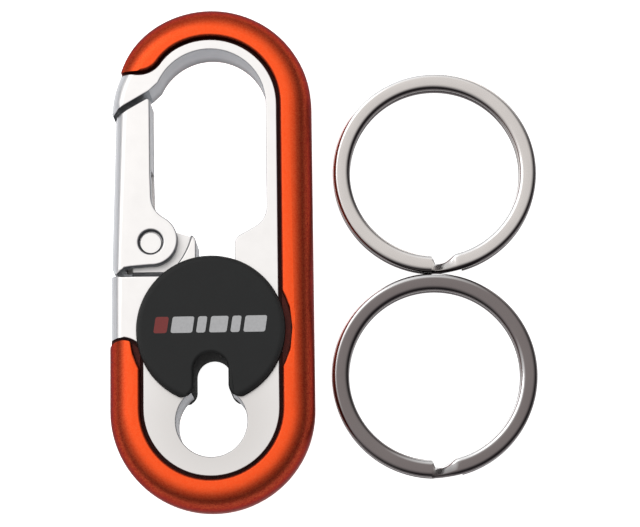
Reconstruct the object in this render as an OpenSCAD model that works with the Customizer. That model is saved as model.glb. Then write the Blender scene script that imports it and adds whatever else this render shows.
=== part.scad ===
// Carabiner key holder with a sprung gate, a turning key lock and two loose split rings.
// The origin is the centre of the key eye, halfway through the frame.
// +Y runs along the body from the key eye to the hook end, and +Z is the front face.

/* [Body] */
// Width of the body across the outer band
body_w = 29.4; // [29:0.1:31]
// Distance between the centres of the two rounded ends
end_gap = 44.25; // [44:0.05:46]
// Thickness of the inner frame
frame_t = 8; // [7.6:0.1:8.4]
// Thickness of the outer band
band_t = 9; // [8.6:0.1:9.2]
// Radial width of the outer band
band_w = 4.5; // [4.4:0.1:4.8]
// Radius that rounds the outer corners of the band's section
band_round = 3.6; // [2.8:0.1:4]
// Width of the hook opening
hook_w = 16.3; // [15.9:0.1:16.4]
// Radius of the key eye
eye_r = 5.1; // [4.8:0.05:5.2]

/* [Turning lock] */
// Radius of the front and rear discs
disc_r = 10.7; // [10.4:0.1:11]
// Thickness over both discs
lock_t = 10.4; // [10.2:0.1:10.8]
// Distance from the key eye to the lock's axis
lock_y = 13.15; // [13:0.05:13.4]
// Radius of the hub that turns in the frame
hub_r = 9.3; // [9.1:0.05:9.35]
// Width of the notch that carries a key ring
notch_w = 5; // [4.6:0.1:5]
// Radial gap between the hub and its seat
hub_gap = 0.05; // [0.03:0.01:0.1]

/* [Gate] */
// Position of the gate's pivot across the body
pivot_x = -8.6; // [-8.7:0.05:-8.5]
// Position of the gate's pivot along the body
pivot_y = 26; // [25.9:0.05:26.1]
// Radius of the gate pin
pin_r = 1; // [0.9:0.05:1.1]
// Radial gap between the gate pin and the frame
pin_gap = 0.05; // [0.03:0.01:0.1]
// Thickness of the frame's tongue between the gate's cheeks
tongue_t = 4; // [3.6:0.1:4]

/* [Split rings] */
// Outer radius of a split ring
ring_r = 14.9; // [14:0.1:15]
// Radial width of the ring's wire
wire_w = 2.55; // [2.2:0.05:2.8]
// Thickness over both turns of the wire
ring_t = 3.2; // [2.8:0.1:3.4]
// Centre of the ring beside the hook end
upper_ring = [32.5, 36.9];
// Centre of the ring beside the key end
lower_ring = [31.95, 7];

/* [Hidden] */
$fn = 96;

silver = "#dcdad8";
orange = "#e2491f";
black = "#2b2c2c";
steel = "#b9b8b4";

through = 40;                      // longer than anything it cuts
body_r = body_w / 2;
low_y = 1.9;                       // centre of the lower rounded end
high_y = low_y + end_gap;          // centre of the upper rounded end
core_r = body_r - band_w;          // seam between frame and band
groove_w = 0.45;                   // shadow groove along the seam
groove_t = 1.4;
silver_r = body_r - 0.35;          // the bare frame at the left side stays inside the band
pivot = [pivot_x, pivot_y];
hook_r = hook_w / 2;

// left end of the band, where its inner edge bends out over the nose
high_c = [0, high_y];
bend_r = 8;
bend_from = 115;
bend_to = 145.1;
bend_c = high_c + (core_r - bend_r) * [cos(bend_from), sin(bend_from)];
horn_r = 3.3;
horn_c = bend_c + (bend_r + horn_r) * [cos(bend_to), sin(bend_to)];
flank_r = 12.9;                    // the band's left end is drawn in a little
flank_from = 105;
flank_c = high_c + (body_r - flank_r) * [cos(flank_from), sin(flank_from)];
// nose of the hook
hook_c = [0, 46.3];
nose_in = [-8.75, 48.42];
nose_out = [-13.3, 45.82];
nose_tip = [-14, 44.8];
nose_c = [-1.7, 45.3];              // its outer side is rounded about this point
nose_r = 12.5;
// silver block below the gate
block_top = 21.17;
block_end_c = [-12.75, 8.8];
block_end_r = 3;
window_x = -8;                      // right side of the bare stretch

// shoulders of the throat
throat_x0 = -2.1;
throat_x1 = 3.5;
corner_r = 3.3;                    // lower right corner of the hook opening
shoulder_r = 1.6;                  // right shoulder
lip_r = 1.2;                       // left shoulder

// gate outline
lobe_c = [-8.45, 26.4];
lobe_r = 3.7;
neck_c = [-4.9, 32.8];
neck_r = 3.6;
gate_x = -14.28;
gate_tilt = 1.6;                   // the closed outer side leans in towards the hook end
gate_side = 1.9;                   // thickness of the gate's closed outer side
slot_top = 37;                     // upper end of the slot between the cheeks
slot_t = tongue_t + 0.2;
head_r = 1.55;
head_hole_r = 1.8;
head_hole_y = 0.1;                 // the counterbore is a little nearer the hook end
head_t = 0.7;
head_depth = 0.45;                 // rivet heads sit this far below the gate's faces

// hinge tongue, its recess and the spring in it
tongue_r = 2.75;
tongue_x = -11.3;
recess_low_y = 22;
recess_c = [-13, 29.5];
recess_r = 10.3;
recess_slope = 0.4;
spring_wire = 0.25;
spring_turn_r = 1.5;
spring_turns = 3;
pocket_r = 2.1;
pocket_t = 2;
leg_top = 35.2;

// turning lock
disc_gap = 0.1;
disc_z = frame_t / 2 + disc_gap;
disc_t = lock_t / 2 - disc_z;
disc_edge = 0.9;
pocket_disc_r = disc_r + 0.85;     // pocket in the band around each disc
pocket_disc_t = 0.8;               // its floor lies this far below the frame's face
notch_end = 5.88;                  // from the lock's axis to the centre of the notch's round end
mouth_r = 1.65;                    // rounds the two corners of the notch's mouth
screw_pcd_r = 5.2;
screw_r = 0.7;
screw_head_r = 1.4;
screw_head_t = 0.7;
screw_end = 3.4;
detent_x = hub_r + 0.35;
leaf_t = 0.25;
leaf_w = 3;
leaf_h = 3.2;

// seam pins
seam_pin_r = 0.6;
seam_pin_y = [10.6, 15.7];
seam_pin_from = -frame_t / 2 + 0.2;
seam_pin_to = 2.6;

// split rings
coil_gap = 0.04;
wire_t = (ring_t - coil_gap) / 2;
wire_round = 0.35;
table_z = -lock_t / 2;
step_from = -92;                   // the wire steps from one turn to the other between these angles
step_to = -76;
cut_gap = 0.7;
step_w = 1.8;                      // the straight step is narrower than the wire
step_r = ring_r - 0.25 - step_w / 2;
step_end = 0.6;

function arc(c, r, a0, a1, n = 12) =
    [for (i = [0:n]) let (a = a0 + (a1 - a0) * i / n) c + r * [cos(a), sin(a)]];

// closed slot shape around both end centres
module stadium(r) {
    for (y = [low_y, high_y]) translate([0, y]) circle(r);
    translate([-r, low_y]) square([2 * r, end_gap]);
}

// solid of the same shape whose section at one side is the 2D child, drawn at x >= 0
module stadium_solid() {
    translate([0, high_y, 0]) rotate_extrude() children();
    translate([0, low_y, 0]) rotate_extrude() children();
    translate([0, low_y, 0]) rotate([-90, 0, 0]) linear_extrude(end_gap) {
        children();
        mirror([1, 0]) children();
    }
}

module band_section() {
    translate([0, -band_t / 2]) square([body_r - band_round, band_t]);
    translate([0, -band_t / 2 + band_round]) square([body_r, band_t - 2 * band_round]);
    for (s = [-1, 1]) translate([body_r - band_round, s * (band_t / 2 - band_round)]) circle(band_round);
}

// section of the bare frame with its bevelled outer edges
module frame_section(r = silver_r) {
    bevel = 1.15;
    h = frame_t / 2;
    polygon([[0, -h], [r - bevel, -h], [r, -h + bevel], [r, h - bevel], [r - bevel, h], [0, h]]);
}

// what is trimmed off the nose's outer side, bevels included
module nose_trim() {
    difference() {
        translate([-20, nose_c[1], -through / 2]) cube([20 + window_x, 20, through]);
        translate([nose_c[0], nose_c[1], 0]) rotate_extrude() frame_section(nose_r);
    }
}

// the band's left end, above the nose; g moves its edge inwards
module band_horn(g = 0) {
    edge_y = horn_c[1] - horn_r - g;
    polygon(concat([[bend_c[0] + (bend_r - g) * cos(bend_from), 62]],
                   arc(bend_c, bend_r - g, bend_from, bend_to),
                   arc(horn_c, horn_r + g, bend_to - 180, -90), [[-20, edge_y], [-20, 62]]));
}

// left side, where the frame is bare between the band's two ends
module bare_window(g = 0) {
    difference() {
        translate([-20, block_end_c[1]]) square([20 + window_x, 60 - block_end_c[1]]);
        translate(block_end_c) circle(block_end_r + g);
        band_horn(g);
    }
}

// outline of the frame; g is the depth of the shadow groove along the band
module frame_outline(g) {
    difference() {
        union() {
            difference() {
                stadium(core_r - g);
                band_horn(g);
            }
            bare_window(g);
        }
        gate_bay();
    }
}

// hook opening, throat and the bay that the gate fills, down to the tongue
module gate_bay() {
    polygon(concat(
        [[throat_x0, lock_y]],
        arc([throat_x0 - lip_r, 25.98], lip_r, 0, 68, 6),
        arc(pivot, tongue_r, 62, 180, 14),
        [[tongue_x, pivot_y], [tongue_x, block_top], [-20, block_top], [-20, nose_tip[1] + 0.7],
         [-silver_r, nose_tip[1] + 0.7], nose_tip, nose_out, nose_in],
        arc(hook_c, hook_r, 156, 0, 32),
        arc([hook_r - corner_r, 31], corner_r, 0, -60, 8),
        arc([throat_x1 + shoulder_r, 25.55], shoulder_r, 120, 180, 6),
        [[throat_x1, lock_y]]));
}

// sloped recess that lets the gate's cheek swing over the tongue, on the front face
module hinge_recess() {
    floor_z = tongue_t / 2;
    top_z = frame_t / 2;
    intersection() {
        translate([recess_c[0], recess_c[1], floor_z])
            cylinder(h = top_z - floor_z + 0.001, r1 = recess_r, r2 = recess_r + recess_slope);
        translate([-20, 0, 0]) rotate([90, 0, 90]) linear_extrude(20)
            polygon([[recess_low_y, floor_z], [31, floor_z], [31, top_z + 1],
                     [recess_low_y - 1, top_z + 1], [recess_low_y - 1, top_z]]);
    }
}

// room for the gate spring around the pin, with ways out for its two legs
module spring_pocket() {
    translate([pivot_x, pivot_y, 0]) {
        cylinder(h = pocket_t, r = pocket_r, center = true);
        translate([-pocket_r, 0, -pocket_t / 2]) cube([2 * pocket_r, tongue_r + 1, pocket_t]);
        translate([0, -pocket_r, -pocket_t / 2]) cube([4.2, 0.9, 0.9]);
    }
}

module inner_frame() {
    color(silver)
    difference() {
        intersection() {
            union() {
                linear_extrude(frame_t - 2 * groove_t, center = true) frame_outline(0);
                linear_extrude(frame_t, center = true) frame_outline(groove_w);
            }
            stadium_solid() frame_section();
        }
        cylinder(h = through, r = eye_r, center = true);
        translate([0, lock_y, 0]) cylinder(h = through, r = hub_r + hub_gap, center = true);
        hinge_recess();
        mirror([0, 0, 1]) hinge_recess();
        translate([pivot_x, pivot_y, 0]) cylinder(h = through, r = pin_r + pin_gap, center = true);
        spring_pocket();
        seam_pin_set(-frame_t / 2 - 1, seam_pin_to);
        detent_pocket();
        nose_trim();
    }
}

module outer_band() {
    color(orange)
    difference() {
        intersection() {
            stadium_solid() band_section();
            linear_extrude(band_t, center = true) difference() {
                stadium(body_r + 1);
                difference() {
                    stadium(core_r);
                    band_horn();
                }
                bare_window();
            }
        }
        for (s = [0, 1]) mirror([0, 0, s]) translate([0, lock_y, frame_t / 2 - pocket_disc_t])
            cylinder(h = band_t, r = pocket_disc_r);
        seam_pin_set(-frame_t / 2 - 1, seam_pin_to);
        flank_trim();
    }
}

// what is trimmed off the band's upper left side
module flank_trim() {
    linear_extrude(through, center = true) difference() {
        translate([-20, high_y]) square([20 + body_r * cos(flank_from), 20]);
        translate(flank_c) circle(flank_r);
    }
}

// pins driven from the back along the seam between frame and band
module seam_pin_set(from, to) {
    for (y = seam_pin_y) translate([core_r, y, from]) cylinder(h = to - from, r = seam_pin_r, $fn = 32);
}

module seam_pins() {
    color(steel) seam_pin_set(seam_pin_from, seam_pin_to);
}

module gate_outline() {
    polygon(concat(
        arc([-9.03, 46.96], 0.35, 0, 120, 6),
        arc([-12.49, 44.03], 1.2, 120, 180, 6),
        [[gate_x, 22.6], [-13.95, 21.75], [-13.5, 21.5], [-12.9, 22.05], [-12.3, 22.35], [-11.5, 22.5]],
        arc(lobe_c, lobe_r, -94, 61, 20),
        arc(neck_c, neck_r, 241, 180, 10),
        [[-8.6, 36]]));
}

module gate() {
    bevel = 1.3;
    h = frame_t / 2;
    color(silver)
    difference() {
        intersection() {
            linear_extrude(frame_t, center = true) gate_outline();
            translate([gate_x - 0.08, pivot_y, 0]) rotate([0, 0, -gate_tilt])
                translate([0, through, 0]) rotate([90, 0, 0]) linear_extrude(2 * through)
                    polygon([[15, -h], [bevel, -h], [0, -h + bevel], [0, h - bevel], [bevel, h], [15, h]]);
        }
        translate([gate_x + gate_side, 15, -slot_t / 2])
            cube([15, slot_top - 15, slot_t]);
        translate([pivot_x, pivot_y, 0]) {
            cylinder(h = through, r = pin_r, center = true);
            for (s = [0, 1]) mirror([0, 0, s])
                translate([0, head_hole_y, frame_t / 2 - head_depth - head_t])
                    cylinder(h = through, r = head_hole_r);
        }
    }
}

module gate_pin() {
    head_z = frame_t / 2 - head_depth - head_t;
    color(steel)
    translate([pivot_x, pivot_y, 0]) {
        cylinder(h = 2 * head_z, r = pin_r, center = true);
        for (s = [0, 1]) mirror([0, 0, s]) translate([0, 0, head_z]) cylinder(h = head_t, r = head_r);
    }
}

module gate_spring() {
    pitch = 1.8 * spring_wire;
    color(steel)
    translate([pivot_x, pivot_y, 0]) {
        for (i = [0:spring_turns - 1])
            translate([0, 0, (i - (spring_turns - 1) / 2) * pitch])
                rotate_extrude($fn = 48) translate([spring_turn_r, 0]) circle(spring_wire, $fn = 16);
        translate([-spring_turn_r, 0, pitch]) rotate([-90, 0, 0])
            cylinder(h = leg_top - pivot_y, r = spring_wire, $fn = 16);
        translate([0, -spring_turn_r, -pitch]) rotate([0, 90, 0])
            cylinder(h = 3.9, r = spring_wire, $fn = 16);
    }
}

// notch with a round end and rounded corners at its mouth, about the lock's axis
module notch_outline() {
    corner_x = notch_w / 2 + mouth_r;
    corner_y = -sqrt(pow(disc_r - mouth_r, 2) - pow(corner_x, 2));
    translate([0, -notch_end]) circle(notch_w / 2);
    translate([-notch_w / 2, -notch_end - 2 * disc_r]) square([notch_w, 2 * disc_r]);
    for (s = [0, 1]) mirror([s, 0]) difference() {
        polygon([[notch_w / 2 - 0.1, corner_y], [corner_x, corner_y], 1.4 * [corner_x, corner_y],
                 [notch_w / 2 - 0.1, 1.4 * corner_y]]);
        translate([corner_x, corner_y]) circle(mouth_r);
    }
}

module disc_plate() {
    translate([0, 0, disc_z]) cylinder(h = disc_t - disc_edge, r = disc_r);
    translate([0, 0, disc_z + disc_t - disc_edge]) rotate_extrude() {
        square([disc_r - disc_edge, disc_edge]);
        intersection() {
            square([disc_r, disc_edge]);
            translate([disc_r - disc_edge, 0]) circle(disc_edge);
        }
    }
}

module lock_rotor() {
    color(black)
    difference() {
        translate([0, lock_y, 0]) difference() {
            union() {
                disc_plate();
                cylinder(h = 2 * disc_z, r = hub_r, center = true);
            }
            linear_extrude(through, center = true) notch_outline();
        }
        for (a = [90, 210, 330]) translate([screw_pcd_r * cos(a), lock_y + screw_pcd_r * sin(a), -through])
            cylinder(h = through + screw_end, r = screw_r, $fn = 32);
        detent_pocket();
    }
}

module lock_rear_disc() {
    color(black)
    difference() {
        translate([0, lock_y, 0]) difference() {
            mirror([0, 0, 1]) disc_plate();
            linear_extrude(through, center = true) notch_outline();
        }
        for (a = [90, 210, 330]) translate([screw_pcd_r * cos(a), lock_y + screw_pcd_r * sin(a), -lock_t / 2])
            screw(screw_r + 0.1, screw_head_r + 0.1);
    }
}

module screw(shank_r, cap_r) {
    translate([0, 0, -0.001]) cylinder(h = screw_head_t, r1 = cap_r, r2 = shank_r);
    cylinder(h = lock_t / 2 + screw_end, r = shank_r, $fn = 32);
}

module lock_screws() {
    slot_w = 0.35;
    color(steel)
    for (a = [90, 210, 330])
        translate([screw_pcd_r * cos(a), lock_y + screw_pcd_r * sin(a), -lock_t / 2 + 0.05]) difference() {
            screw(screw_r, screw_head_r);
            for (t = [0, 90]) rotate([0, 0, t]) translate([-screw_head_r * 0.6, -slot_w / 2, -1])
                cube([screw_head_r * 1.2, slot_w, 1.35]);
        }
}

// gap in the seat wall for the detent leaf, and the groove its nib clicks into
module detent_pocket() {
    translate([hub_r - 0.45, lock_y - leaf_h / 2 - 0.2, -leaf_w / 2 - 0.1])
        cube([core_r - hub_r + 0.55, leaf_h + 0.4, leaf_w + 0.2]);
}

module detent_spring() {
    nib_r = 0.45;
    color(steel)
    translate([detent_x, lock_y, 0]) {
        translate([0, -leaf_h / 2, -leaf_w / 2]) cube([leaf_t, leaf_h, leaf_w]);
        translate([0.05, 0, 0]) cylinder(h = leaf_w, r = nib_r, center = true, $fn = 32);
    }
}

// section of the split ring's wire, centred on its turn
module wire_section() {
    w = wire_w - 2 * wire_round;
    t = wire_t - 2 * wire_round;
    translate([ring_r - wire_w / 2, 0]) {
        square([wire_w, t], center = true);
        square([w, wire_t], center = true);
        for (x = [-1, 1], y = [-1, 1]) translate([x * w / 2, y * t / 2]) circle(wire_round, $fn = 32);
    }
}

module wire_arc(from, sweep, z) {
    translate([0, 0, z]) rotate([0, 0, from]) rotate_extrude(angle = sweep) wire_section();
}

// straight piece that climbs from the lower turn to the upper one
module wire_step(low, high) {
    t = step_r * sin((step_to - step_from) / 2);
    h = wire_t / 2 - 0.05;
    rotate([0, 0, (step_to + step_from) / 2]) translate([step_r, 0, 0])
        rotate([90, 0, 90]) linear_extrude(step_w, center = true)
            polygon([[-t - step_end, low - h], [-t, low - h], [t, high - h], [t + step_end, high - h],
                     [t + step_end, high + h], [t, high + h], [-t, low + h], [-t - step_end, low + h]]);
}

module split_ring(c) {
    turn = 360 - (step_to - step_from) - cut_gap;
    low = table_z + wire_t / 2;
    high = table_z + ring_t - wire_t / 2;
    color(steel)
    translate([c[0], c[1], 0]) {
        wire_arc(step_to, turn, high);
        wire_arc(step_from - turn, turn, low);
        wire_step(low, high);
    }
}

module split_ring_upper() {
    split_ring(upper_ring);
}

module split_ring_lower() {
    split_ring(lower_ring);
}

inner_frame();
outer_band();
seam_pins();
gate();
gate_pin();
gate_spring();
lock_rotor();
lock_rear_disc();
lock_screws();
detent_spring();
split_ring_upper();
split_ring_lower();
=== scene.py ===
import bmesh
import bpy
from math import cos, pi, radians, sin, tan
from mathutils import Matrix, Vector


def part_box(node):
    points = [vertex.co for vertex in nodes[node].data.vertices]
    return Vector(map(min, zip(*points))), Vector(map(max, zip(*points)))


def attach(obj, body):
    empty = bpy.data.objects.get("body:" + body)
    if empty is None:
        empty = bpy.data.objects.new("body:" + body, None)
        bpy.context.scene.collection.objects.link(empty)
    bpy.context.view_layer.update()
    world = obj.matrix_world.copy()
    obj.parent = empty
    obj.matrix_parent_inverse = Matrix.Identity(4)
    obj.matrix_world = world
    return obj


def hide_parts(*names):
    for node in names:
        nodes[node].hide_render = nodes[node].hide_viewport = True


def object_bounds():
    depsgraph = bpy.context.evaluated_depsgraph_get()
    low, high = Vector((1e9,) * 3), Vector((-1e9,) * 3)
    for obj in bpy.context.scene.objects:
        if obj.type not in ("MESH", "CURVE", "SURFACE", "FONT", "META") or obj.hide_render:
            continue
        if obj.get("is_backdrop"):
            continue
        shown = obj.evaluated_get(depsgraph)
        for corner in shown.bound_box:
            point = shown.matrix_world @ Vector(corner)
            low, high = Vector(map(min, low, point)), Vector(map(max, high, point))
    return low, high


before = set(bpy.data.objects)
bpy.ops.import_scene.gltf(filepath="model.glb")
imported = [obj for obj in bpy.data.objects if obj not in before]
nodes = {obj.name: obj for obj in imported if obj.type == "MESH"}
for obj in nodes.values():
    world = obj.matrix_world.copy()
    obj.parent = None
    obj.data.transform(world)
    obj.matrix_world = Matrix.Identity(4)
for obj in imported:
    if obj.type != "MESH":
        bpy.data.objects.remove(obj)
cad_low, cad_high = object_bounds()
MM = 0.001
scene = bpy.context.scene
bpy.ops.object.select_all(action="DESELECT")


# Camera: a long lens above the front face, tipped so that the walls towards the key end show.
aim = Vector(((cad_low.x + cad_high.x) / 2 - 0.70 * MM, 23.19 * MM, 0))
pitch, yaw, roll = radians(10.10), radians(1.28), radians(-0.78)
look = Vector((-tan(yaw), tan(pitch), -1)).normalized()
right = look.cross(Vector((0, 1, 0))).normalized()
over = right.cross(look)
turned = Matrix.Rotation(-roll, 3, look)
cam_data = bpy.data.cameras.new("camera")
cam_data.sensor_width = 36
cam_data.lens = 163.15
cam_data.clip_start = 0.01
cam_data.clip_end = 10
cam = bpy.data.objects.new("camera", cam_data)
scene.collection.objects.link(cam)
cam.matrix_world = Matrix.Translation(aim - look * 0.42) @ Matrix(
    (turned @ right, turned @ over, -look)).transposed().to_4x4()
scene.camera = cam


# Inner frame: one zinc casting with the hook, the throat, the key eye and the tongue of the hinge.
# Its faces are pearl satin nickel plate. Several tones below stand in for shade, not for the plate.
def linear(code):
    channels = [int(code[i:i + 2], 16) / 255 for i in (1, 3, 5)]
    return tuple(c / 12.92 if c < 0.04045 else ((c + 0.055) / 1.055) ** 2.4 for c in channels) + (1,)


def add(tree, kind, settings=None, **inputs):
    """Adds a node; each input is another node's output, or a plain value."""
    n = tree.nodes.new("ShaderNode" + kind)
    for key, value in (settings or {}).items():
        setattr(n, key, value)
    for key, value in inputs.items():
        numbered = key[0] == "i" and key[1:].isdigit()
        socket = n.inputs[int(key[1:]) if numbered else key.replace("_", " ")]
        if isinstance(value, bpy.types.NodeSocket):
            tree.links.new(value, socket)
        else:
            socket.default_value = value
    return n


def finish(name, **inputs):
    """A new material with one principled shader, and the tree that the rest is added to."""
    material = bpy.data.materials.new(name)
    material.use_nodes = True
    tree = material.node_tree
    shader = tree.nodes["Principled BSDF"]
    for key, value in inputs.items():
        shader.inputs[key.replace("_", " ")].default_value = value
    return material, tree, shader


def eased_copy(node, name, passes, sharp=32, segments=3):
    """A merged copy of a CAD solid. Each pass rounds the edges within a range of angles, above a height."""
    piece = bpy.data.objects.new(name, nodes[node].data.copy())
    piece.data.materials.clear()
    scene.collection.objects.link(piece)
    bpy.context.view_layer.objects.active = piece
    piece.select_set(True)
    bpy.ops.mesh.customdata_custom_splitnormals_clear()
    bpy.ops.object.mode_set(mode="EDIT")
    bpy.ops.mesh.select_all(action="SELECT")
    bpy.ops.mesh.remove_doubles(threshold=0.001 * MM)
    bpy.ops.mesh.dissolve_limited(angle_limit=radians(0.4))
    bpy.ops.mesh.select_mode(type="EDGE")
    for ease, least, most, height in passes:
        bpy.ops.mesh.select_all(action="DESELECT")
        mesh = bmesh.from_edit_mesh(piece.data)
        for edge in mesh.edges:
            keen = len(edge.link_faces) == 2 and radians(least) < edge.calc_face_angle() < radians(most)
            edge.select = keen and min(abs(v.co.z) for v in edge.verts) > height * MM
        bmesh.update_edit_mesh(piece.data)
        bpy.ops.mesh.bevel(offset=ease * MM, segments=segments, affect="EDGES", clamp_overlap=False)
    bpy.ops.mesh.select_all(action="SELECT")
    bpy.ops.mesh.remove_doubles(threshold=0.001 * MM)
    bpy.ops.object.mode_set(mode="OBJECT")
    bpy.ops.object.shade_smooth_by_angle(angle=radians(sharp))
    weighted = piece.modifiers.new("flat faces stay flat", "WEIGHTED_NORMAL")
    weighted.keep_sharp = True
    bpy.ops.object.modifier_apply(modifier=weighted.name)
    piece.select_set(False)
    return piece


# satin nickel: a soft broad gloss with a fine grain. The greyer tone on the bevels and the darker one
# round the key eye stand in for shade that the plain studio light doesn't give
satin, tree, shader = finish("pearl satin nickel", Metallic=1, Roughness=0.4)
place = add(tree, "TexCoord").outputs["Object"]
cloud = add(tree, "TexNoise", Vector=place, Scale=420, Detail=3)
grain = add(tree, "TexNoise", Vector=place, Scale=6500, Detail=2)
tone = add(tree, "Mix", {"data_type": "RGBA"}, Factor=cloud.outputs["Fac"],
           A=linear("#EEEBE9"), B=linear("#F8F5F3"))
from_eye = add(tree, "VectorMath", {"operation": "LENGTH"}, i0=place)
near_eye = add(tree, "MapRange", Value=from_eye.outputs["Value"])
near_eye.inputs["From Min"].default_value = 5 * MM
near_eye.inputs["From Max"].default_value = 17 * MM
eye_tone = add(tree, "Mix", {"data_type": "RGBA"}, Factor=near_eye.outputs["Result"],
               A=linear("#D6D2CF"), B=tone.outputs["Result"])
facing = add(tree, "SeparateXYZ", Vector=add(tree, "NewGeometry").outputs["Normal"])
flat = add(tree, "Math", {"operation": "ABSOLUTE"}, i0=facing.outputs["Z"])
level = add(tree, "MapRange", Value=flat.outputs["Value"])
level.inputs["From Min"].default_value = 0.74
level.inputs["From Max"].default_value = 0.98
tone = add(tree, "Mix", {"data_type": "RGBA"}, Factor=level.outputs["Result"],
           A=linear("#B2B3B6"), B=eye_tone.outputs["Result"])
polish = add(tree, "MapRange", Value=cloud.outputs["Fac"])
polish.inputs["To Min"].default_value = 0.36
polish.inputs["To Max"].default_value = 0.44
relief = add(tree, "Bump", Height=grain.outputs["Fac"], Strength=0.12, Distance=0.01 * MM)
tree.links.new(tone.outputs["Result"], shader.inputs["Base Color"])
tree.links.new(polish.outputs["Result"], shader.inputs["Roughness"])
tree.links.new(relief.outputs["Normal"], shader.inputs["Normal"])

# the same plate on the upright walls, rougher, with a greyer tone that is painted shade; its dark back
# third is painted shade as well
wall, tree, shader = finish("nickel wall in painted shade", Metallic=1, Roughness=0.46)
place = add(tree, "TexCoord").outputs["Object"]
cloud = add(tree, "TexNoise", Vector=place, Scale=500, Detail=3)
grain = add(tree, "TexNoise", Vector=place, Scale=5000, Detail=2)
height = add(tree, "SeparateXYZ", Vector=place)
from_back = add(tree, "MapRange", Value=height.outputs["Z"])
from_back.inputs["From Min"].default_value = -4 * MM
from_back.inputs["From Max"].default_value = -0.6 * MM
wall_tone = add(tree, "Mix", {"data_type": "RGBA"}, Factor=cloud.outputs["Fac"],
                A=linear("#7E7F84"), B=linear("#8D8E92"))
tone = add(tree, "Mix", {"data_type": "RGBA"}, Factor=from_back.outputs["Result"],
           A=linear("#404044"), B=wall_tone.outputs["Result"])
relief = add(tree, "Bump", Height=grain.outputs["Fac"], Strength=0.2, Distance=0.01 * MM)
tree.links.new(tone.outputs["Result"], shader.inputs["Base Color"])
tree.links.new(relief.outputs["Normal"], shader.inputs["Normal"])

# the bottom of the narrow gap along the band: a dark tone that stands in for the shade in it
gap_dark, tree, shader = finish("dark gap bottom", Metallic=0.2, Roughness=0.8)
place = add(tree, "TexCoord").outputs["Object"]
cloud = add(tree, "TexNoise", Vector=place, Scale=900, Detail=3)
tone = add(tree, "Mix", {"data_type": "RGBA"}, Factor=cloud.outputs["Fac"],
           A=linear("#46221E"), B=linear("#66332E"))
tree.links.new(tone.outputs["Result"], shader.inputs["Base Color"])

# the walls inside the joints round the gate: a dark tone that stands in for the shade in them
shaded, tree, shader = finish("shaded nickel in a joint", Metallic=1, Roughness=0.5)
place = add(tree, "TexCoord").outputs["Object"]
cloud = add(tree, "TexNoise", Vector=place, Scale=700, Detail=3)
tone = add(tree, "Mix", {"data_type": "RGBA"}, Factor=cloud.outputs["Fac"],
           A=linear("#4C5158"), B=linear("#62676E"))
tree.links.new(tone.outputs["Result"], shader.inputs["Base Color"])


def walls_into_painted_shade(piece, in_joint):
    """Upright faces get the second material, and those that in_joint() picks get the third: both are the
    plate in painted shade.
    """
    for face in piece.data.polygons:
        if abs(face.normal.z) < 0.3:
            face.material_index = 2 if in_joint(face.center / MM, face.normal) else 1


casting = eased_copy("inner_frame", "satin_frame", [(0.5, 40, 50, 2.7), (0.18, 55, 180, 3.98)])
casting.data.materials.append(satin)
casting.data.materials.append(wall)
casting.data.materials.append(shaded)
casting.data.materials.append(gap_dark)
walls_into_painted_shade(casting, lambda at, normal: at.x < -8.7 and at.y > 44 and normal.y < -0.2)
gap_z = 2.6 * MM
for face in casting.data.polygons:
    if abs(face.normal.z) > 0.9 and abs(abs(face.center.z) - gap_z) < 0.02 * MM:
        face.material_index = 3
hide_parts("inner_frame")
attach(casting, "body")


# Outer band: a zinc D-section round the frame, sprayed with a metallic orange lacquer. The tone
# follows how far a face turns from the front, bright to dark red, and part of that is baked-in shade.
lacquer, tree, shader = finish("satin orange lacquer", Metallic=0.9, Roughness=0.36,
                               Specular_Tint=linear("#8A4030"), Coat_Weight=0.05, Coat_Roughness=0.3)
place = add(tree, "TexCoord").outputs["Object"]
facing = add(tree, "SeparateXYZ", Vector=add(tree, "NewGeometry").outputs["Normal"])
upright = add(tree, "Math", {"operation": "ABSOLUTE"}, i0=facing.outputs["Z"])
body_tone = add(tree, "ValToRGB", Fac=upright.outputs["Value"])
shade_stops = body_tone.color_ramp.elements
shade_stops[0].position = 0.5
shade_stops[0].color = linear("#741F18")
shade_stops[1].position = 1
shade_stops[1].color = linear("#FA5422")
for at, code in ((0.8, "#8E2A1A"), (0.92, "#C43E1C")):
    shade_stops.new(at).color = linear(code)
flake = add(tree, "TexVoronoi", Vector=place, Scale=7000)
flake_tone = add(tree, "SeparateColor", Color=flake.outputs["Color"])
glint = add(tree, "MapRange", Value=flake_tone.outputs["Red"])
glint.inputs["To Min"].default_value = 0.0
glint.inputs["To Max"].default_value = 0.16
flaked = add(tree, "Mix", {"data_type": "RGBA"}, Factor=glint.outputs["Result"],
             A=body_tone.outputs["Color"], B=linear("#FF8A55"))
peel = add(tree, "TexNoise", Vector=place, Scale=1600, Detail=1)
relief = add(tree, "Bump", Height=peel.outputs["Fac"], Strength=0.1, Distance=0.02 * MM)
tree.links.new(flaked.outputs["Result"], shader.inputs["Base Color"])
tree.links.new(relief.outputs["Normal"], shader.inputs["Normal"])

# the pockets round the discs: a dark tone that stands in for the shade in them
pocket_shade, tree, shader = finish("shaded lacquer in a pocket", Metallic=0.3, Roughness=0.6)
place = add(tree, "TexCoord").outputs["Object"]
cloud = add(tree, "TexNoise", Vector=place, Scale=900, Detail=3)
facing = add(tree, "SeparateXYZ", Vector=add(tree, "NewGeometry").outputs["Normal"])
flat = add(tree, "Math", {"operation": "ABSOLUTE"}, i0=facing.outputs["Z"])
deep = add(tree, "Mix", {"data_type": "RGBA"}, Factor=flat.outputs["Value"],
           A=linear("#1C0D0B"), B=linear("#7C2413"))
tone = add(tree, "Mix", {"data_type": "RGBA"}, Factor=cloud.outputs["Fac"],
           A=deep.outputs["Result"], B=linear("#3A140E"))
tree.links.new(tone.outputs["Result"], shader.inputs["Base Color"])

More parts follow.
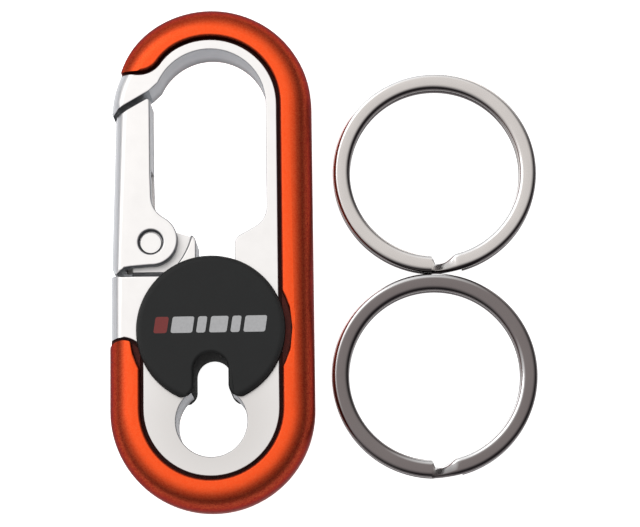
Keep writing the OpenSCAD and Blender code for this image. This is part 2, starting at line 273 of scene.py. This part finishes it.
band = eased_copy("outer_band", "orange_band", [(0.4, 32, 180, 4.45)])
band.data.materials.append(lacquer)
band.data.materials.append(pocket_shade)
disc_low, disc_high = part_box("lock_rotor")
disc_r = (disc_high.x - disc_low.x) / 2
disc_middle = Vector((0, disc_high.y - disc_r))
for face in band.data.polygons:
    from_middle = (face.center.to_2d() - disc_middle).length
    if from_middle < disc_r + 0.87 * MM and 3.15 * MM < abs(face.center.z) < 4.3 * MM:
        face.material_index = 1
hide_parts("outer_band")
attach(band, "body")


# Gate: a casting with two cheeks over the frame's tongue, plated like the frame. The bevel down its
# outer side is eased more softly than its other edges.
gate = eased_copy("gate", "satin_gate", [(0.55, 40, 50, 2.6), (0.25, 55, 180, 2.65)])
gate.data.materials.append(satin)
gate.data.materials.append(wall)
gate.data.materials.append(shaded)
walls_into_painted_shade(gate, lambda at, normal: at.y < 25 and normal.y < -0.2)
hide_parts("gate")
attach(gate, "gate")


# Gate pin: a plated steel rivet that turns with the gate, its heads peened down in two counterbores.
rivet = eased_copy("gate_pin", "gate_rivet", [(0.12, 32, 180, 3.5)])
rivet.data.materials.append(satin)
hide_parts("gate_pin")
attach(rivet, "gate")


# Lock rotor and rear disc: black moulded nylon with a soft-touch matt skin. The front disc and the
# hub are one moulding, and three screws hold the rear disc on it.
soft_black, tree, shader = finish("matt black nylon", Roughness=0.55, IOR=1.38)
place = add(tree, "TexCoord").outputs["Object"]
cloud = add(tree, "TexNoise", Vector=place, Scale=300, Detail=3)
spark = add(tree, "TexNoise", Vector=place, Scale=7000, Detail=2)
tone = add(tree, "Mix", {"data_type": "RGBA"}, Factor=cloud.outputs["Fac"],
           A=linear("#181919"), B=linear("#1D1E1E"))
polish = add(tree, "MapRange", Value=spark.outputs["Fac"])
polish.inputs["To Min"].default_value = 0.5
polish.inputs["To Max"].default_value = 0.68
relief = add(tree, "Bump", Height=spark.outputs["Fac"], Strength=0.25, Distance=0.015 * MM)
tree.links.new(tone.outputs["Result"], shader.inputs["Base Color"])
tree.links.new(polish.outputs["Result"], shader.inputs["Roughness"])
tree.links.new(relief.outputs["Normal"], shader.inputs["Normal"])

# the upright walls of the discs and the hub, the same black nylon but duller, with a darker tone that is
# painted shade
black_core, tree, shader = finish("dull black nylon wall in painted shade", Roughness=0.9, Specular_IOR_Level=0.1)
place = add(tree, "TexCoord").outputs["Object"]
cloud = add(tree, "TexNoise", Vector=place, Scale=900, Detail=3)
tone = add(tree, "Mix", {"data_type": "RGBA"}, Factor=cloud.outputs["Fac"],
           A=linear("#0D0D0D"), B=linear("#141414"))
tree.links.new(tone.outputs["Result"], shader.inputs["Base Color"])

for node, name in (("lock_rotor", "black_rotor"), ("lock_rear_disc", "black_rear_disc")):
    disc = eased_copy(node, name, [(0.45, 32, 180, 5.15)], segments=4)
    disc.data.materials.append(soft_black)
    disc.data.materials.append(black_core)
    for face in disc.data.polygons:
        face.material_index = 1 if abs(face.normal.z) < 0.3 else 0
    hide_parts(node)
    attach(disc, "lock")


# Printed mark on the front disc: a plain row of slanted bars, pad printed in one red and several
# silver-grey strokes of ink, a few hundredths of a millimetre thick.
red_ink, tree, shader = finish("dark red ink", Roughness=0.5)
place = add(tree, "TexCoord").outputs["Object"]
wear = add(tree, "TexNoise", Vector=place, Scale=2500, Detail=3)
tone = add(tree, "Mix", {"data_type": "RGBA"}, Factor=wear.outputs["Fac"],
           A=linear("#701E1B"), B=linear("#842622"))
tree.links.new(tone.outputs["Result"], shader.inputs["Base Color"])
grey_ink, tree, shader = finish("silver grey ink", Roughness=0.5)
place = add(tree, "TexCoord").outputs["Object"]
wear = add(tree, "TexNoise", Vector=place, Scale=2500, Detail=3)
tone = add(tree, "Mix", {"data_type": "RGBA"}, Factor=wear.outputs["Fac"],
           A=linear("#A9A9AA"), B=linear("#C4C4C5"))
tree.links.new(tone.outputs["Result"], shader.inputs["Base Color"])

bar_h = 2.35 * MM
bar_lean = 0.35 * MM
gap = 0.55 * MM
bar_widths = [1.9, 3.1, 1.3, 2.5, 1.3, 3.1]
mark_y = disc_high.y - 10.1 * MM
left = (disc_low.x + disc_high.x) / 2 - (sum(bar_widths) * MM + gap * (len(bar_widths) - 1)) / 2
for i, width in enumerate(bar_widths):
    w = width * MM
    bpy.ops.mesh.primitive_plane_add(size=1, location=(left + w / 2, mark_y, disc_high.z + 0.004 * MM))
    bar = bpy.context.object
    bar.name = "mark_bar_%d" % (i + 1)
    bar.scale = (w, bar_h, 1)
    bpy.ops.object.transform_apply(location=True, rotation=False, scale=True)
    for v in bar.data.vertices:
        v.co.x += bar_lean * (1 if v.co.y > mark_y else -1) / 2
    bpy.ops.object.mode_set(mode="EDIT")
    bpy.ops.mesh.select_all(action="SELECT")
    bpy.ops.mesh.bevel(offset=0.3 * MM, segments=4, affect="VERTICES")
    bpy.ops.mesh.select_all(action="SELECT")
    bpy.ops.mesh.extrude_region_move(TRANSFORM_OT_translate={"value": (0, 0, -0.02 * MM)})
    bpy.ops.mesh.select_all(action="SELECT")
    bpy.ops.mesh.normals_make_consistent(inside=False)
    bpy.ops.object.mode_set(mode="OBJECT")
    bar.data.materials.append(red_ink if i == 0 else grey_ink)
    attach(bar, "lock")
    bar.select_set(False)
    left += w + gap


# Plain steel parts that hardly show: the seam pins, the three screws, and the two small springs.
plain, tree, shader = finish("plain bright steel", Metallic=1, Roughness=0.3)
place = add(tree, "TexCoord").outputs["Object"]
cloud = add(tree, "TexNoise", Vector=place, Scale=900, Detail=3)
tone = add(tree, "Mix", {"data_type": "RGBA"}, Factor=cloud.outputs["Fac"],
           A=linear("#A5A4A2"), B=linear("#C2C1BE"))
polish = add(tree, "MapRange", Value=cloud.outputs["Fac"])
polish.inputs["To Min"].default_value = 0.24
polish.inputs["To Max"].default_value = 0.38
tree.links.new(tone.outputs["Result"], shader.inputs["Base Color"])
tree.links.new(polish.outputs["Result"], shader.inputs["Roughness"])
for node in ("seam_pins", "lock_screws", "gate_spring", "detent_spring"):
    nodes[node].data.materials.clear()
    nodes[node].data.materials.append(plain)


# Split rings: spring steel wire of flat section with rounded corners, wound in two turns, with the
# step where the wire climbs from the lower turn to the upper one pressed narrower. Bright nickel.
def ring_plate(name, face_tone):
    """Nickel whose tone follows the way a face points: painted highlight and painted shade that stand in
    for reflections of a studio.
    """
    plate, tree, shader = finish(name, Metallic=1, Roughness=0.15)
    place = add(tree, "TexCoord").outputs["Object"]
    cloud = add(tree, "TexNoise", Vector=place, Scale=260, Detail=3)
    scuff = add(tree, "TexNoise", Vector=place, Scale=2600, Detail=4)
    normal = add(tree, "NewGeometry").outputs["Normal"]
    # painted highlight towards the upper left and painted shade towards the lower right
    slope = add(tree, "VectorMath", {"operation": "DOT_PRODUCT"}, i0=normal, i1=(-0.45, 0.55, 0.7))
    light_and_shade_ramp = add(tree, "ValToRGB", Fac=slope.outputs["Value"])
    shades = light_and_shade_ramp.color_ramp.elements
    shades[0].position = 0.3
    shades[0].color = linear("#2E2A2C")
    shades[1].position = 0.92
    shades[1].color = (1, 1, 1, 1)
    shades.new(0.72).color = linear(face_tone)
    # the sides of the wire darker: painted shade
    facing = add(tree, "SeparateXYZ", Vector=normal)
    edge = add(tree, "MapRange", Value=facing.outputs["Z"])
    edge.inputs["From Min"].default_value = 0.25
    edge.inputs["From Max"].default_value = 0.65
    side_shade = add(tree, "Mix", {"data_type": "RGBA"}, Factor=edge.outputs["Result"],
                 A=linear("#3E3839"), B=light_and_shade_ramp.outputs["Color"])
    worn = add(tree, "MapRange", Value=cloud.outputs["Fac"])
    worn.inputs["To Max"].default_value = 0.2
    tone = add(tree, "Mix", {"data_type": "RGBA"}, Factor=worn.outputs["Result"],
               A=side_shade.outputs["Result"], B=linear("#8C8684"))
    polish = add(tree, "MapRange", Value=scuff.outputs["Fac"])
    polish.inputs["To Min"].default_value = 0.12
    polish.inputs["To Max"].default_value = 0.22
    relief = add(tree, "Bump", Height=scuff.outputs["Fac"], Strength=0.06, Distance=0.02 * MM)
    tree.links.new(tone.outputs["Result"], shader.inputs["Base Color"])
    tree.links.new(polish.outputs["Result"], shader.inputs["Roughness"])
    tree.links.new(relief.outputs["Normal"], shader.inputs["Normal"])
    return plate


# the lower ring's darker face tone is painted shade
ring_plates = {"split_ring_upper": ring_plate("bright nickel on spring steel", "#D8D2CE"),
               "split_ring_lower": ring_plate("nickel on spring steel in painted shade", "#756D6C")}

wire_w = 2.55 * MM
turn_gap = 0.04 * MM
cut = radians(0.7)
climb_from, climb_to = radians(-92), radians(-76)
climb_steps = 12
for node, name in (("split_ring_upper", "nickel_ring_upper"), ("split_ring_lower", "nickel_ring_lower")):
    low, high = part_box(node)
    middle = Vector(((low.x + high.x) / 2, (low.y + high.y) / 2, 0))
    wire_t = (high.z - low.z - turn_gap) / 2
    radius = (high.x - low.x) / 2 - wire_w / 2
    turn = 2 * pi - (climb_to - climb_from) - cut
    start = climb_from - turn
    hand = Vector((cos(start), sin(start), 0))
    bpy.ops.mesh.primitive_plane_add(size=1, location=(0, 0, 0))
    ring = bpy.context.object
    ring.name = name
    place = Matrix.Translation(middle + hand * radius + Vector((0, 0, low.z + wire_t / 2)))
    ring.matrix_world = place @ Matrix(
        (hand * wire_w, Vector((0, 0, wire_t)), hand.cross(Vector((0, 0, 1))))).transposed().to_4x4()
    bpy.ops.object.transform_apply(location=True, rotation=True, scale=True)
    bpy.ops.object.mode_set(mode="EDIT")
    bpy.ops.mesh.select_all(action="SELECT")
    bpy.ops.mesh.bevel(offset=0.78 * MM, segments=9, affect="VERTICES")
    bpy.ops.mesh.select_all(action="SELECT")
    bpy.ops.mesh.spin(steps=150, angle=turn, center=middle, axis=(0, 0, -1))
    risen, width, pushed = 0, 1, 0
    for i in range(1, climb_steps + 1):
        part = i / climb_steps
        rise = part * part * (3 - 2 * part) * (wire_t + turn_gap)
        opened = max(0, part - 0.35) / 0.65
        narrow = 0.64 + 0.36 * opened * opened * (3 - 2 * opened)
        push = (1 - narrow) / 2 * wire_w * 0.85
        bpy.ops.mesh.spin(steps=1, angle=(climb_to - climb_from) / climb_steps,
                          center=middle, axis=(0, 0, -1))
        section = bmesh.from_edit_mesh(ring.data)
        angle = climb_from + (climb_to - climb_from) * part
        out = Vector((cos(angle), sin(angle), 0))
        for v in section.verts:
            if v.select:
                reach = (v.co - middle).dot(out)
                v.co += out * ((reach - radius - pushed) * (narrow / width - 1) + push - pushed)
                v.co.z += rise - risen
        bmesh.update_edit_mesh(ring.data)
        risen, width, pushed = rise, narrow, push
    bpy.ops.mesh.spin(steps=150, angle=turn, center=middle, axis=(0, 0, -1))
    bpy.ops.mesh.select_all(action="SELECT")
    bpy.ops.mesh.remove_doubles(threshold=0.001 * MM)
    bpy.ops.mesh.normals_make_consistent(inside=False)
    bpy.ops.object.mode_set(mode="OBJECT")
    bpy.ops.object.shade_smooth_by_angle(angle=radians(30))
    ring.data.materials.append(ring_plates[node])
    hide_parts(node)
    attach(ring, "upper_ring" if node == "split_ring_upper" else "lower_ring")
    ring.select_set(False)


# Floor: a plain white table that glows a little, so that it stays white round the object.
bpy.ops.mesh.primitive_plane_add(size=4, location=(0, 0, cad_low.z))
floor = bpy.context.object
floor.name = "floor"
floor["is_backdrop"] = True
table, tree, shader = finish("white light table", Base_Color=(0.95, 0.95, 0.95, 1), Roughness=0.9)
shader.inputs["Emission Color"].default_value = (1, 1, 1, 1)
shader.inputs["Emission Strength"].default_value = 0.9
floor.data.materials.append(table)


# Light: a white ceiling that falls off to a grey horizon, and two soft boxes on the left.
studio = bpy.data.worlds.new("studio")
scene.world = studio
studio.use_nodes = True
tree = studio.node_tree
lean = add(tree, "VectorMath", {"operation": "DOT_PRODUCT"},
           i0=add(tree, "TexCoord").outputs["Generated"], i1=(-0.2, 0.3, 1))
ramp = add(tree, "ValToRGB", Fac=lean.outputs["Value"])
ramp.color_ramp.elements[0].position = 0.2
ramp.color_ramp.elements[0].color = (0.2, 0.2, 0.21, 1)
ramp.color_ramp.elements[1].position = 0.9
ramp.color_ramp.elements[1].color = (1, 1, 1, 1)
tree.links.new(ramp.outputs["Color"], tree.nodes["Background"].inputs["Color"])
tree.nodes["Background"].inputs["Strength"].default_value = 1.0
soft = bpy.data.lights.new("soft box", "AREA")
soft.shape = "SQUARE"
soft.size = 0.5
soft.energy = 0.6
lamp = bpy.data.objects.new("soft box", soft)
scene.collection.objects.link(lamp)
lamp.location = (-0.36, 0.36, 0.55)
lamp.rotation_euler = (Vector((0, 0.02, 0)) - lamp.location).to_track_quat("-Z", "Y").to_euler()
strip = bpy.data.lights.new("small soft box", "AREA")
strip.shape = "SQUARE"
strip.size = 0.1
strip.energy = 0.16
lamp = bpy.data.objects.new("small soft box", strip)
scene.collection.objects.link(lamp)
lamp.location = (-0.5, 0.16, 0.42)
lamp.rotation_euler = (Vector((0, 0.02, 0)) - lamp.location).to_track_quat("-Z", "Y").to_euler()
scene.view_settings.view_transform = "Standard"

low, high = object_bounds()
